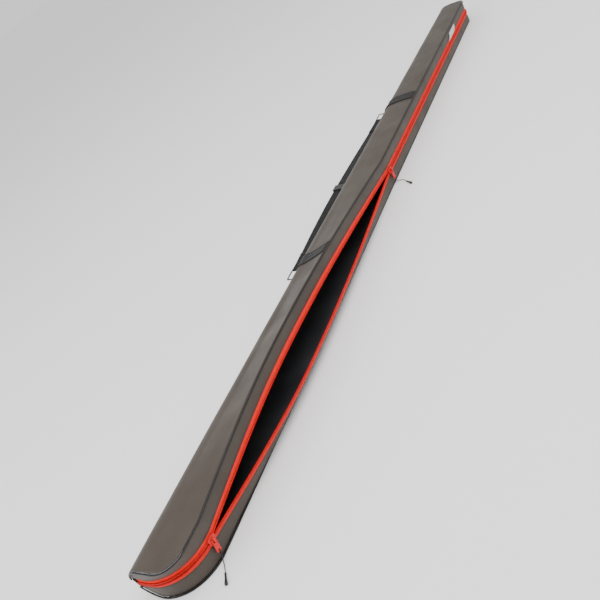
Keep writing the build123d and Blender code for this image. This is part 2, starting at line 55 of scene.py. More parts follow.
far_height = 0.066
skin = 0.0012
zip_radius = 0.088
front_radius = 0.045
back_radius = 0.092
far_radius = 0.026
zip_half = 0.010
coil_gap = 0.0011
coil_width = 0.0029
coil_rise = 0.0025
piping_radius = 0.0018
piping_gap = 0.0006
drawn_piping = 0.0014
lower_slider_x = near_x + zip_radius
upper_slider_x = near_x + 1.085
mouth_start = lower_slider_x + 0.010
mouth_peak = near_x + 0.480
mouth_end = upper_slider_x - 0.010
panel_lift = 0.030
webbing = 0.035
lower_band_x = near_x + 0.735
upper_band_x = near_x + 1.379


# ---------------------------------------------------------------- shape of the bag along its length
def taper(x):
    start = near_x + zip_radius
    end = far_x - far_radius
    return min(max((x - start) / (end - start), 0.0), 1.0)


def width_at(x):
    return near_width + (far_width - near_width) * taper(x)


def height_at(x):
    return near_height + (far_height - near_height) * taper(x)


def spine_y(x):
    return (width_at(x) - height_at(x)) / 2


def mouth_at(x):
    """How far the mouth is open: 0 at the sliders, 1 at its widest."""
    if x <= mouth_start or x >= mouth_end:
        return 0.0
    if x < mouth_peak:
        return math.sin(math.pi / 2 * (x - mouth_start) / (mouth_peak - mouth_start))
    return math.cos(math.pi / 2 * (x - mouth_peak) / (mouth_end - mouth_peak))


def corner_inset(x, radius):
    """How far the rounded corners draw a panel's zip edge in from the straight side."""
    near = min(max(radius - (x - near_x), 0.0), radius)
    far = min(max(far_radius - (far_x - x), 0.0), far_radius)
    near_inset = radius - math.sqrt(radius**2 - near**2)
    far_inset = far_radius - math.sqrt(far_radius**2 - far**2)
    return near_inset + far_inset


def unevenness(place, size, amount):
    """Slow waviness of sewn foam, the same on every layer."""
    return amount * noise.noise(Vector(place) / size)


# ---------------------------------------------------------------- the wrap: front panel, spine, back panel
front_part = 0.34  # shares of the wrap's width
spine_part = 0.66


def wrap_point(x, share, depth):
    """A point of the wrap: share runs from the front edge, round the spine, to the back edge."""
    mouth = mouth_at(x)
    root = spine_y(x)
    height = height_at(x)
    crown = 0.0016 * (1 - 0.6 * mouth)
    if share <= front_part:
        part = share / front_part
        edge = -width_at(x) / 2 + corner_inset(x, front_radius) + 0.004 * mouth + 0.0003
        y = edge + (root - edge) * part
        z = height - depth + panel_lift * mouth * (1 - part) ** 1.15
        z += (crown + unevenness((x, y, 1.0), 0.11, 0.0011)) * math.sin(math.pi * part)
        return Vector((x, y, z))
    if share <= spine_part:
        turn = math.pi / 2 - math.pi * (share - front_part) / (spine_part - front_part)
        reach = height / 2 - depth + unevenness((x, turn * 0.04, 3.0), 0.09, 0.0006) * math.cos(turn) ** 0.5
        return Vector((x, root + reach * math.cos(turn), height / 2 + reach * math.sin(turn)))
    part = (share - spine_part) / (1 - spine_part)
    edge = min(-width_at(x) / 2 + corner_inset(x, back_radius) - 0.003 * mouth + 0.0003, root - 0.001)
    return Vector((x, root + (edge - root) * part, depth))


def along_bag(share):
    """Stations along the bag, closer together towards its rounded ends."""
    ends = 0.5 - 0.5 * math.cos(math.pi * share)
    return near_x + (far_x - near_x) * (0.55 * share + 0.45 * ends)


# ---------------------------------------------------------------- the rim: the line of the zip
def rim_at(run, near_reach):
    """Place on the zip's line: x, y, heading of the outward normal, and turn left in the near corner."""
    corner = Vector((near_x + zip_radius, -near_width / 2 + zip_radius))
    far_corner = Vector((far_x - far_radius, -far_width / 2 + far_radius))
    first = spine_y(near_x) + near_reach - corner.y
    if run < first:
        return near_x, corner.y + first - run, math.pi, math.pi / 2
    run -= first
    arc = zip_radius * math.pi / 2
    if run < arc:
        heading = math.pi + run / zip_radius
        place = corner + zip_radius * Vector((math.cos(heading), math.sin(heading)))
        return place.x, place.y, heading, math.pi / 2 - run / zip_radius
    run -= arc
    side = far_corner.x - corner.x
    if run < side:
        x = corner.x + run
        return x, -width_at(x) / 2, math.pi * 1.5, 0.0
    run -= side
    arc = far_radius * math.pi / 2
    if run < arc:
        heading = math.pi * 1.5 + run / far_radius
        place = far_corner + far_radius * Vector((math.cos(heading), math.sin(heading)))
        return place.x, place.y, heading, 0.0
    return far_x, far_corner.y + run - arc, math.pi * 2, 0.0


def rim_length(near_reach, far_reach):
    straight = far_x - far_radius - near_x - zip_radius
    near = spine_y(near_x) + near_reach + near_width / 2 - zip_radius
    far = spine_y(far_x) + far_reach + far_width / 2 - far_radius
    return near + far + straight + math.pi / 2 * (zip_radius + far_radius)


def rim_point(station, out, up):
    x, y, heading = station[:3]
    return Vector((x + out * math.cos(heading), y + out * math.sin(heading), up))


def rounding(corner):
    """How far the front panel's corner stands outside the zip's."""
    flat = min(corner, math.pi / 2 - corner)
    step = zip_radius - front_radius
    if flat < 0.01:
        return 0.0
    if zip_radius * math.tan(flat) < step:
        return zip_radius / math.cos(flat) - zip_radius
    along = step * (math.sin(corner) + math.cos(corner))
    return along + math.sqrt(along**2 - 2 * step**2 + front_radius**2) - zip_radius


def half_inside(station, radius):
    across = max(station[1] - spine_y(station[0]), 0.0)
    return math.sqrt(max(radius**2 - across**2, 0.0))


def front_top(station):
    x = station[0]
    mouth = mouth_at(x)
    top = height_at(x) / 2 + half_inside(station, height_at(x) / 2 - skin)
    return rounding(station[3]) - 0.004 * mouth, top + panel_lift * mouth


def front_lip(station):
    mouth = mouth_at(station[0])
    return -0.006 * mouth, height_at(station[0]) / 2 + zip_half + 0.030 * mouth


def front_edge(station):
    mouth = mouth_at(station[0])
    return -0.003 * mouth, height_at(station[0]) / 2 + coil_gap + 0.029 * mouth


def back_foot(station):
    x = station[0]
    foot = height_at(x) / 2 - half_inside(station, height_at(x) / 2 - skin)
    return 0.003 * mouth_at(x), foot


def back_lip(station):
    mouth = mouth_at(station[0])
    return 0.025 * mouth, height_at(station[0]) / 2 - zip_half - 0.0095 * mouth


def back_edge(station):
    mouth = mouth_at(station[0])
    return 0.026 * mouth, height_at(station[0]) / 2 - coil_gap - 0.0095 * mouth


def between(first, second, share, inwards=0.0, bulge=0.0):
    out = first[0] + (second[0] - first[0]) * share - inwards + bulge * math.sin(math.pi * share)
    return out, first[1] + (second[1] - first[1]) * share


# ---------------------------------------------------------------- materials
def new_material(name, colour, roughness):
    """A material with its constant values on the shader's own sockets."""
    material = bpy.data.materials.new(name)
    material.use_nodes = True
    shader = material.node_tree.nodes["Principled BSDF"]
    shader.inputs["Base Color"].default_value = (*colour, 1.0)
    shader.inputs["Roughness"].default_value = roughness
    return material


def add_node(material, kind, **settings):
    node = material.node_tree.nodes.new(kind)
    for name, value in settings.items():
        setattr(node, name, value)
    return node


def link(material, source, target):
    material.node_tree.links.new(source, target)


def pattern_source(material, mapped, scale):
    """Object coordinates, or the piece's UV map in metres, scaled to a pattern's own size."""
    coordinates = add_node(material, "ShaderNodeTexCoord")
    mapping = add_node(material, "ShaderNodeMapping")
    mapping.inputs["Scale"].default_value = scale
    link(material, coordinates.outputs["UV" if mapped else "Object"], mapping.inputs["Vector"])
    return mapping.outputs["Vector"]


def mottle(material, size, dark, light, contrast=0.35, mapped=False):
    """Colour variation between two shades over patches of this size."""
    texture = add_node(material, "ShaderNodeTexNoise")
    texture.inputs["Scale"].default_value = 1.0
    texture.inputs["Detail"].default_value = 4.0
    link(material, pattern_source(material, mapped, (1 / size,) * 3), texture.inputs["Vector"])
    ramp = add_node(material, "ShaderNodeValToRGB")
    ramp.color_ramp.elements[0].position = 0.5 - contrast / 2
    ramp.color_ramp.elements[0].color = (*dark, 1)
    ramp.color_ramp.elements[1].position = 0.5 + contrast / 2
    ramp.color_ramp.elements[1].color = (*light, 1)
    link(material, texture.outputs["Fac"], ramp.inputs["Fac"])
    link(material, ramp.outputs["Color"], material.node_tree.nodes["Principled BSDF"].inputs["Base Color"])
    return texture


def worn_gloss(material, size, low, high):
    """Roughness that varies between two values over patches of this size."""
    texture = add_node(material, "ShaderNodeTexNoise")
    texture.inputs["Scale"].default_value = 1.0
    texture.inputs["Detail"].default_value = 3.0
    link(material, pattern_source(material, False, (1 / size,) * 3), texture.inputs["Vector"])
    spread = add_node(material, "ShaderNodeMapRange")
    spread.inputs["From Min"].default_value = 0.3
    spread.inputs["From Max"].default_value = 0.7
    spread.inputs["To Min"].default_value = low
    spread.inputs["To Max"].default_value = high
    link(material, texture.outputs["Fac"], spread.inputs["Value"])
    link(material, spread.outputs["Result"], material.node_tree.nodes["Principled BSDF"].inputs["Roughness"])


def wave(material, source, direction):
    texture = add_node(material, "ShaderNodeTexWave", wave_type="BANDS", bands_direction=direction)
    texture.inputs["Scale"].default_value = 1.0
    link(material, source, texture.inputs["Vector"])
    return texture.outputs["Fac"]


def bump(material, height, strength, distance):
    relief = add_node(material, "ShaderNodeBump")
    relief.inputs["Strength"].default_value = strength
    relief.inputs["Distance"].default_value = distance
    link(material, height, relief.inputs["Height"])
    link(material, relief.outputs["Normal"], material.node_tree.nodes["Principled BSDF"].inputs["Normal"])


def weave(material, thread, strength, mapped=True, twill=False):
    """Crossing threads of this width, as a bump."""
    source = pattern_source(material, mapped, (math.pi / (2 * thread),) * 3)
    warp = wave(material, source, "DIAGONAL" if twill else "X")
    weft = wave(material, source, "Y")
    crossing = add_node(material, "ShaderNodeMath", operation="MULTIPLY" if twill else "MAXIMUM")
    link(material, warp, crossing.inputs[0])
    link(material, weft, crossing.inputs[1])
    bump(material, crossing.outputs["Value"], strength, thread * 0.35)


def surface(material, sheen, specular):
    """The strength of a cloth's soft sheen and of its plain reflection."""
    shader = material.node_tree.nodes["Principled BSDF"]
    shader.inputs["Sheen Weight"].default_value = sheen
    shader.inputs["Sheen Roughness"].default_value = 0.4
    shader.inputs["Specular IOR Level"].default_value = specular


def shell_fabric():
    material = new_material("coated_taupe_cloth", (0.054, 0.042, 0.033), 0.5)
    surface(material, 0.03, 0.28)
    mottle(material, 0.09, (0.049, 0.038, 0.030), (0.062, 0.049, 0.039))
    worn_gloss(material, 0.05, 0.46, 0.60)
    weave(material, 0.00055, 0.22)
    return material


def lining_fabric():
    material = new_material("black_lining_cloth", (0.018, 0.019, 0.021), 0.42)
    surface(material, 0.1, 0.5)
    mottle(material, 0.07, (0.014, 0.015, 0.017), (0.026, 0.027, 0.030))
    weave(material, 0.0004, 0.25)
    return material


def zip_tape_cloth():
    material = new_material("red_zip_tape", (0.78, 0.013, 0.008), 0.6)
    surface(material, 0.01, 0.12)
    mottle(material, 0.012, (0.72, 0.011, 0.006), (0.84, 0.016, 0.010), mapped=True)
    weave(material, 0.0007, 0.5, twill=True)
    return material


def coil_nylon():
    material = new_material("red_zip_coil", (0.60, 0.008, 0.005), 0.4)
    surface(material, 0.0, 0.25)
    mottle(material, 0.004, (0.52, 0.006, 0.004), (0.66, 0.012, 0.008))
    return material


def piping_cover():
    material = new_material("black_piping", (0.006, 0.006, 0.006), 0.32)
    surface(material, 0.0, 0.3)
    mottle(material, 0.01, (0.004, 0.004, 0.004), (0.009, 0.009, 0.010))
    weave(material, 0.0006, 0.2, mapped=False)
    return material


def webbing_cloth(name, dark, light):
    material = new_material(name, dark, 0.65)
    surface(material, 0.04, 0.2)
    mottle(material, 0.01, dark, light, mapped=True)
    weave(material, 0.0011, 0.8, twill=True)
    return material


def thread_yarn(name, colour):
    material = new_material(name, colour, 0.55)
    mottle(material, 0.003, tuple(0.8 * c for c in colour), tuple(1.2 * c for c in colour))
    return material


def grey_flap_cloth():
    material = new_material("light_grey_cloth", (0.55, 0.58, 0.55), 0.5)
    mottle(material, 0.008, (0.50, 0.53, 0.50), (0.60, 0.63, 0.60), mapped=True)
    weave(material, 0.0005, 0.25)
    return material


def red_enamel():
    material = new_material("red_enamel", (0.62, 0.010, 0.010), 0.36)
    surface(material, 0.0, 0.28)
    mottle(material, 0.006, (0.58, 0.008, 0.008), (0.66, 0.014, 0.013))
    worn_gloss(material, 0.004, 0.30, 0.45)
    return material


def braided_cord():
    material = new_material("black_braid", (0.010, 0.010, 0.010), 0.55)
    source = pattern_source(material, False, (900.0, 900.0, 900.0))
    strands = wave(material, source, "DIAGONAL")
    bump(material, strands, 0.7, 0.0002)
    mottle(material, 0.002, (0.007, 0.007, 0.007), (0.02, 0.02, 0.02))
    return material


def moulded_plastic(name, colour, roughness):
    material = new_material(name, colour, roughness)
    mottle(material, 0.01, tuple(0.85 * c for c in colour), tuple(1.25 * c for c in colour))
    grain = add_node(material, "ShaderNodeTexNoise")
    grain.inputs["Scale"].default_value = 1.0
    grain.inputs["Detail"].default_value = 2.0
    link(material, pattern_source(material, False, (2500.0, 2500.0, 2500.0)), grain.inputs["Vector"])
    bump(material, grain.outputs["Fac"], 0.25, 0.0001)
    return material


def foam_cells():
    material = new_material("grey_foam", (0.22, 0.22, 0.23), 0.9)
    cells = add_node(material, "ShaderNodeTexVoronoi")
    cells.inputs["Scale"].default_value = 1.0
    link(material, pattern_source(material, False, (1200.0, 1200.0, 1200.0)), cells.inputs["Vector"])
    bump(material, cells.outputs["Distance"], 0.6, 0.0004)
    mottle(material, 0.02, (0.19, 0.19, 0.20), (0.26, 0.26, 0.27))
    return material


def pale_floor():
    return new_material("pale_floor", (0.96, 0.96, 0.96), 0.7)


taupe = shell_fabric()
black_lining = lining_fabric()
red_tape = zip_tape_cloth()
red_coil = coil_nylon()
black_piping = piping_cover()
band_webbing = webbing_cloth("band_webbing", (0.016, 0.0155, 0.015), (0.024, 0.023, 0.022))
strap_webbing = webbing_cloth("strap_webbing", (0.005, 0.005, 0.005), (0.011, 0.011, 0.012))
taupe_thread = thread_yarn("taupe_thread", (0.056, 0.045, 0.036))
black_thread = thread_yarn("black_thread", (0.009, 0.009, 0.009))
stitch_size = (0.0024, 0.0006, 0.0004)
grey_flap = grey_flap_cloth()
enamel = red_enamel()
braid = braided_cord()
hardware = moulded_plastic("black_acetal", (0.013, 0.013, 0.014), 0.38)
grip_rubber = moulded_plastic("black_rubber", (0.011, 0.011, 0.011), 0.5)
foam = foam_cells()


# ---------------------------------------------------------------- making pieces
def finished(mesh, name, material, body, smooth=True):
    """A finished piece: an object at the origin that rides on a body."""
    piece = bpy.data.objects.new(name, mesh)
    bpy.context.scene.collection.objects.link(piece)
    mesh.materials.clear()
    mesh.materials.append(material)
    for face in mesh.polygons:
        face.use_smooth = smooth
    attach(piece, body)
    return piece


def cloth_piece(name, cuts, place, size, thickness, material, body):
    """A layer of cloth: a grid of cuts, each point put at place(along, across), with UVs in metres."""
    bm = bmesh.new()
    weave_map = bm.loops.layers.uv.new("weave")
    bmesh.ops.create_grid(bm, x_segments=cuts[0], y_segments=cuts[1], size=0.5)
    for face in bm.faces:
        for loop in face.loops:
            share = loop.vert.co
            loop[weave_map].uv = ((share.x + 0.5) * size[0], (share.y + 0.5) * size[1])
    for vert in bm.verts:
        vert.co = place(vert.co.x + 0.5, vert.co.y + 0.5)
    mesh = bpy.data.meshes.new(name)
    bm.to_mesh(mesh)
    bm.free()
    piece = finished(mesh, name, material, body)
    solidify = piece.modifiers.new("thickness", "SOLIDIFY")
    solidify.thickness = thickness
    solidify.offset = 0.0
    return piece


def round_piece(name, points, radius, material, body, sides=5, closed=False):
    """A round cord along points, as a mesh."""
    line = bpy.data.curves.new(name, "CURVE")
    line.dimensions = "3D"
    spline = line.splines.new("POLY")
    spline.points.add(len(points) - 1)
    for point, place in zip(spline.points, points):
        point.co = (*place, 1.0)
    spline.use_cyclic_u = closed
    line.bevel_depth = radius
    line.bevel_resolution = sides
    line.use_fill_caps = not closed
    return finished(curve_mesh(line, name), name, material, body)


def curve_mesh(line, name):
    """The mesh of a curve."""
    holder = bpy.data.objects.new(name + "_line", line)
    bpy.context.scene.collection.objects.link(holder)
    bpy.context.view_layer.update()
    graph = bpy.context.evaluated_depsgraph_get()
    mesh = bpy.data.meshes.new_from_object(holder.evaluated_get(graph))
    bpy.data.objects.remove(holder)
    mesh.name = name
    return mesh


def row_of(name, places, size, material, body):
    """Many small bevelled blocks, such as stitches or zip teeth: each place is a matrix."""
    bm = bmesh.new()
    scale = Matrix.Diagonal((*size, 1.0))
    for place in places:
        bmesh.ops.create_cube(bm, size=1.0, matrix=place @ scale)
    bmesh.ops.bevel(
        bm,
        geom=bm.edges[:],
        offset=0.28 * min(size),
        affect="EDGES",
        segments=1,
        profile=0.5,
        material=-1,
    )
    mesh = bpy.data.meshes.new(name)
    bm.to_mesh(mesh)
    bm.free()
    return finished(mesh, name, material, body)


def turned(origin, along, outward):
    """A matrix at origin with its X along and its Z outward."""
    along = along.normalized()
    up = outward.cross(along).normalized()
    outward = along.cross(up).normalized()
    return Matrix.Translation(origin) @ Matrix((along, up, outward)).transposed().to_4x4()


# ---------------------------------------------------------------- shell: cover, foam and lining of the wrap
def wrap_layer(name, depth, thickness, material, replaced):
    def place(along, across):
        return wrap_point(along_bag(along), across, depth + thickness / 2)

    around = 0.074 + 0.120 + 0.074
    piece = cloth_piece(
        name, (360, 44), place, (far_x - near_x, around), thickness, material, "bag"
    )
    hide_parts(*replaced)
    return piece


def padded_wrap():
    panels = ["front_panel", "back_panel", "spine_panel"]
    wrap_layer("outer_cover", 0.0, 0.0010, taupe, panels)
    wrap_layer("foam_core", 0.0013, 0.0036, foam, [panel + "_foam" for panel in panels])
    linings = [panel + "_lining" for panel in panels]
    wrap_layer("inner_lining", 0.0052, 0.0008, black_lining, linings)


padded_wrap()

# ---------------------------------------------------------------- gusset strips, zip tapes, zip teeth
strip_reach = (0.034, 0.024)
zip_reach = (0.033, 0.022)
piping_reach = (0.0395, 0.0295)


def rim_piece(name, upper, lower, reach, cuts, inwards, thickness, material, bulge=0.0):
    """A strip that runs round the rim between two edges."""
    whole = rim_length(*reach)

    def place(along, across):
        station = rim_at(along * whole, reach[0])
        out, up = between(upper(station), lower(station), across, inwards, bulge)
        return rim_point(station, out, up)

    return cloth_piece(name, cuts, place, (whole, 0.03), thickness, material, "bag")


def gusset_strips():
    ends = ["near", "side", "far"]
    front = rim_piece(
        "front_gusset_cover", front_top, front_lip, strip_reach, (420, 6), 0.0006, 0.001, taupe,
        bulge=0.0008,
    )
    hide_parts(*[end + "_front_gusset" for end in ends])
    back = rim_piece(
        "back_gusset_cover", back_lip, back_foot, strip_reach, (420, 6), 0.0006, 0.001, taupe,
        bulge=0.0008,
    )
    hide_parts(*[end + "_back_gusset" for end in ends])
    linings = [("front_gusset_lining", front_top, front_lip), ("back_gusset_lining", back_lip, back_foot)]
    for name, upper, lower in linings:
        rim_piece(name, upper, lower, strip_reach, (420, 4), 0.0026, 0.0007, black_lining)


def zip_tapes():
    stretches = ["near", "lower", "upper", "shut", "far"]
    for name, upper, lower in [("front", front_lip, front_edge), ("back", back_edge, back_lip)]:
        tape = rim_piece(
            name + "_tape_cloth", upper, lower, zip_reach, (420, 6), 0.0004, 0.0008, red_tape
        )
        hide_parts(*[stretch + "_" + name + "_zip_tape" for stretch in stretches])


def tooth_places(edge, lip, reach, pitch, inset, rise):
    """Where each tooth of a coil stands, on the outer face of its tape."""
    whole = rim_length(*reach)
    count = int(whole / pitch)
    places = []
    for k in range(count):
        station = rim_at((k + 0.5) * pitch, reach[0])
        ahead = rim_at((k + 0.7) * pitch, reach[0])
        start = edge(station)
        end = lip(station)
        share = inset / math.dist(start, end)
        here = rim_point(station, *between(start, end, share, -rise))
        there = rim_point(ahead, *between(edge(ahead), lip(ahead), share, -rise))
        outward = Vector((math.cos(station[2]), math.sin(station[2]), 0.0))
        places.append(turned(here, there - here, outward))
    return places


def zip_teeth():
    size = (0.0013, coil_width, coil_rise)
    for name, edge, lip in [("front", front_edge, front_lip), ("back", back_edge, back_lip)]:
        places = tooth_places(edge, lip, zip_reach, 0.0019, coil_width / 2, coil_rise / 2 + 0.0001)
        teeth = row_of(name + "_zip_teeth", places, size, red_coil, "bag")
        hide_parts(name + "_zip_coil")
        whole = rim_length(*zip_reach)
        line = []
        for k in range(700):
            station = rim_at(whole * k / 699, zip_reach[0])
            share = 0.0021 / math.dist(edge(station), lip(station))
            line.append(rim_point(station, *between(edge(station), lip(station), share, -coil_rise - 0.0001)))
        round_piece(name + "_coil_stitching", line, 0.00035, red_coil, "bag", sides=2)


def piping_point(station, front):
    x = station[0]
    radius = height_at(x) / 2 - piping_radius
    if front:
        up = height_at(x) / 2 + half_inside(station, radius) + panel_lift * mouth_at(x)
        return rim_point(station, front_top(station)[0] + piping_radius + piping_gap, up)
    up = height_at(x) / 2 - half_inside(station, radius - 0.0002)
    tuck = 0.0030 * min(max((x - near_x - 0.12) / 0.2, 0.0), 1.0)
    return rim_point(station, back_foot(station)[0] + piping_radius + piping_gap - tuck, up)


def pipings():
    whole = rim_length(*piping_reach)
    for name, front in [("front", True), ("back", False)]:
        line = [piping_point(rim_at(whole * k / 899, piping_reach[0]), front) for k in range(900)]
        cord = round_piece(
            name + "_corded_piping", line, drawn_piping, black_piping, "bag", sides=4
        )
        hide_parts(name + "_piping")


def top_stitching():
    """Rows of stitches along the gusset strips: beside the zip tape on both, and beside the piping on the
    front strip.
    """
    rows = [
        ("front_lip", front_lip, front_top, 0.0018),
        ("back_lip", back_lip, back_foot, 0.0018),
        ("front_seam", front_top, front_lip, 0.0032),
    ]
    for name, edge, far_edge, inset in rows:
        places = tooth_places(edge, far_edge, strip_reach, 0.0038, inset, 0.00005)
        row_of(name + "_stitches", places, (0.0026, 0.0005, 0.0004), taupe_thread, "bag")


gusset_strips()
zip_tapes()
zip_teeth()
pipings()
top_stitching()


# ---------------------------------------------------------------- webbing bands round the wrap
# Where on the wrap's width a band ends, 70 degrees below level on the spine.
band_reach = front_part + (spine_part - front_part) * (90.0 + 70.0) / 180.0


def webbing_bands():
    for name, x in [("lower", lower_band_x), ("upper", upper_band_x)]:
        def place(along, across):
            station = x + (along - 0.5) * webbing
            return wrap_point(station, 0.012 + (band_reach - 0.012) * across, -0.0011)

        band = cloth_piece(
            name + "_webbing_band", (14, 70), place, (webbing, 0.19), 0.0016, band_webbing, "bag"
        )
        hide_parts(name + "_band")
        stitches = []
        for row in (0.034, 0.052, 0.135):
            for k in range(9):
                spot = x + webbing * (k - 4) / 10.5
                here = wrap_point(spot, row, -0.0020)
                there = wrap_point(spot + 0.001, row, -0.0020)
                stitches.append(turned(here, there - here, Vector((0, 0.25, 1))))
        for side in (-1, 1):
            for k in range(48):
                share = 0.03 + (band_reach - 0.05) * k / 47
                spot = x + side * webbing * 0.43
                here = wrap_point(spot, share, -0.0020)
                there = wrap_point(spot, share + 0.004, -0.0020)
                outward = Vector((0, 0, 1))
                if share >= front_part:
                    outward = here - Vector((spot, spine_y(spot), height_at(spot) / 2))
                stitches.append(turned(here, there - here, outward))
        row_of(name + "_band_stitches", stitches, stitch_size, black_thread, "bag")


webbing_bands()


# ---------------------------------------------------------------- strap rings, keepers, carrying strap
ring_angle = math.radians(2)
ring_span = 0.032
ring_depth = 0.028
keeper_length = 0.020
strap_width = 0.024
strap_bow = 0.012
strap_twist = 0.002
strap_start = lower_band_x + ring_span / 2
strap_finish = upper_band_x - ring_span / 2


def ring_pin(name):
    """Middle of the bar that the ring hangs on."""
    low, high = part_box(name + "_ring_keeper")
    return (low + high) / 2


ring_out = Vector((0, math.cos(ring_angle), math.sin(ring_angle)))
ring_across = Vector((0, -ring_out.z, ring_out.y))


def strap_line(x):
    """Middle of the strap's webbing at a station."""
    start = ring_pin("lower")
    finish = ring_pin("upper")
    share = (x - start.x) / (finish.x - start.x)
    bow = strap_bow * math.sin(math.pi * (x - strap_start) / (strap_finish - strap_start))
    return start + (finish - start) * share + ring_out * (ring_depth / 2 + bow)


def strap_route():
    """The webbing's line: folded round one ring, along to the other ring, and folded back there."""
    loop = 0.0025
    tail = 0.055
    ply = 0.00085
    route = []
    for k in range(12):
        share = k / 11
        lift = ply + (loop - ply) * share**3
        route.append((strap_start + tail * (1 - share) + 0.002, lift))
    for k in range(1, 12):
        turn = math.pi / 2 + math.pi * k / 12
        route.append((strap_start + loop * math.cos(turn), loop * math.sin(turn)))
    for k in range(12):
        share = 1 - k / 11
        lift = -ply - (loop - ply) * share**3
        route.append((strap_start + 0.002 + tail * (1 - share), lift))
    middle = 60
    for k in range(1, middle):
        route.append((strap_start + tail + (strap_finish - strap_start - 2 * tail) * k / middle, -ply))
    for k in range(12):
        share = k / 11
        lift = -ply - (loop - ply) * share**3
        route.append((strap_finish - 0.002 - tail * (1 - share), lift))
    for k in range(1, 12):
        turn = -math.pi / 2 + math.pi * k / 12
        route.append((strap_finish + loop * math.cos(turn), loop * math.sin(turn)))
    for k in range(12):
        share = 1 - k / 11
        lift = ply + (loop - ply) * share**3
        route.append((strap_finish - 0.002 - tail * (1 - share), lift))
    return route


def carrying_strap():
    route = strap_route()

    def place(along, across):
        x, lift = route[round(along * (len(route) - 1))]
        spot = strap_line(min(max(x, strap_start), strap_finish))
        spot.x = x
        turns = (x - strap_start) / (strap_finish - strap_start)
        twist = strap_twist * (across - 0.5) * math.sin(2 * math.pi * turns)
        return spot + ring_out * strap_width * (across - 0.5) + ring_across * (lift + twist)

    strap = cloth_piece(
        "carrying_strap_webbing",
        (len(route) - 1, 10),
        place,
        (0.9, strap_width),
        0.0014,
        strap_webbing,
        "strap",
    )
    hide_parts("carrying_strap")
    stitches = []
    for end, way in [(strap_start, 1), (strap_finish, -1)]:
        for across in (-0.0085, 0.0085):
            for k in range(11):
                spot = strap_line(end + way * (0.014 + 0.0036 * k)) + ring_out * across + ring_across * 0.0017
                stitches.append(turned(spot, Vector((1, 0, 0)), ring_across))
        for row in (0.013, 0.052):
            for k in range(6):
                spot = strap_line(end + way * row) + ring_out * (-0.0075 + 0.003 * k) + ring_across * 0.0017
                stitches.append(turned(spot, ring_out, ring_across))
    row_of("carrying_strap_stitches", stitches, stitch_size, black_thread, "strap")


def ring_keepers():
    """Loops of webbing sewn on the bands, each round its ring's bar."""
    for name, x in [("lower", lower_band_x), ("upper", upper_band_x)]:
        pin = ring_pin(name)
        centre = Vector((x, spine_y(x), height_at(x) / 2))
        outward = (pin - centre).normalized()
        up = Vector((0, -outward.z, outward.y))
        reach = height_at(x) / 2 + 0.0028
        base = math.atan2(outward.z, outward.y)

        def place(along, across):
            if across < 0.36:
                turn = base + math.radians(32) * (1 - across / 0.36) + math.radians(5)
                spot = centre + reach * Vector((0, math.cos(turn), math.sin(turn)))
            elif across > 0.64:
                turn = base - math.radians(32) * ((across - 0.64) / 0.36) - math.radians(5)
                spot = centre + reach * Vector((0, math.cos(turn), math.sin(turn)))
            else:
                turn = math.pi / 2 - math.pi * (across - 0.36) / 0.28
                spot = pin + 0.0027 * (outward * math.cos(turn) + up * math.sin(turn))
            spot.x = x + (along - 0.5) * keeper_length
            return spot

        keeper = cloth_piece(
            name + "_keeper_webbing",
            (10, 60),
            place,
            (keeper_length, 0.06),
            0.0013,
            band_webbing,
            "bag",
        )
        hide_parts(name + "_ring_keeper")


ring_keepers()
carrying_strap()


# ---------------------------------------------------------------- zip pulls: cords, grips, knots and loops
cord_radius = 0.0008
cord_routes = {
    "lower": [
        (0.0798, -0.0659, 0.0132),
        (0.0766, -0.0661, 0.0086),
        (0.0726, -0.0674, 0.0044),
        (0.0672, -0.0706, 0.0017),
        (0.0610, -0.0756, 0.0012),
        (0.0549, -0.0804, 0.0019),
    ],
    "upper": [
        (1.0822, -0.0602, 0.0066),
        (1.0850, -0.0634, 0.0038),
        (1.0874, -0.0682, 0.0018),
        (1.0872, -0.0742, 0.0012),
        (1.0836, -0.0794, 0.0012),
        (1.0792, -0.0836, 0.0013),
        (1.0754, -0.0878, 0.0019),
    ],
}
grip_ends = {"lower": (0.0356, -0.0948, 0.0032), "upper": (1.0605, -0.1066, 0.0032)}


def pull_cord(name):
    """The cord's curve, on a smooth line through the route's corners."""
    line = bpy.data.curves.new(name + "_cord", "CURVE")
    line.dimensions = "3D"
    spline = line.splines.new("NURBS")
    spline.points.add(len(cord_routes[name]) - 1)
    for point, (x, y, z) in zip(spline.points, cord_routes[name]):
        point.co = (near_x + x, y, z, 1.0)
    spline.order_u = 3
    spline.use_endpoint_u = True
    line.resolution_u = 12
    line.bevel_depth = cord_radius
    line.bevel_resolution = 5
    line.use_fill_caps = True
    line.materials.append(braid)
    cord = bpy.data.objects.new(name + "_cord", line)
    bpy.context.scene.collection.objects.link(cord)
    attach(cord, name + "_pull")
    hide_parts(name + "_pull_cord")
    return cord


